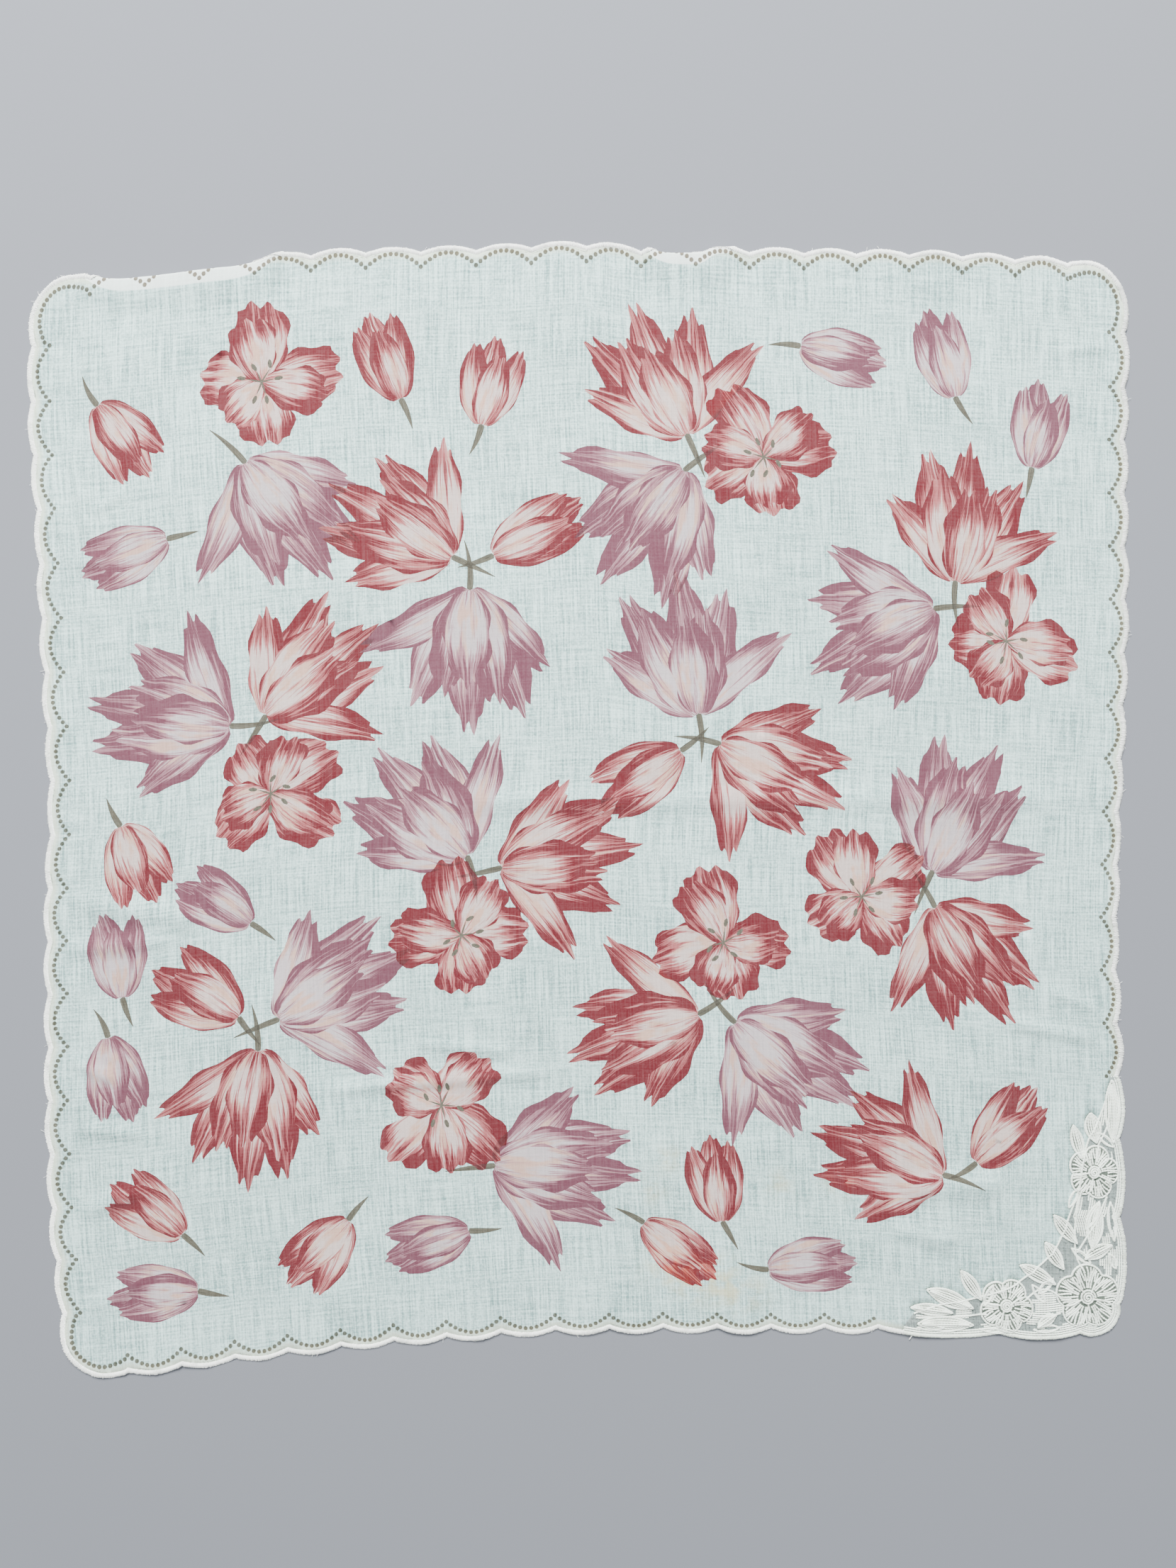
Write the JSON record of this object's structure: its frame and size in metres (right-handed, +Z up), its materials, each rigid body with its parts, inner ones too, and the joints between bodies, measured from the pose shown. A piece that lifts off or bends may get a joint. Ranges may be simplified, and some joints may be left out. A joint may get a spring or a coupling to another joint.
{
  "type": "printed handkerchief square (bandana)",
  "caption": "Square of thin printed cotton lawn lying open, with a scalloped satin-stitched edge, one edge partly turned under and an embroidered lace corner.",
  "frame": {"origin": "centre of the bounding box, on the surface that the cloth lies on", "axes": "+Z up out of the printed face, +Y towards the side whose edge is partly turned under, +X towards the right as seen from above, so that the lace corner is at +X and -Y"},
  "size_m": [0.4798, 0.495, 0.003],
  "materials": {
    "printed_lawn": "sheer matte cotton lawn, cool white, printed",
    "edging_thread": "white satin stitch",
    "lace": "white corded embroidery on sheer ground"
  },
  "bodies": {
    "root": {"cloth": "printed_lawn", "edging": "edging_thread", "lace_corner": "lace"}
  },
  "joints": []
}
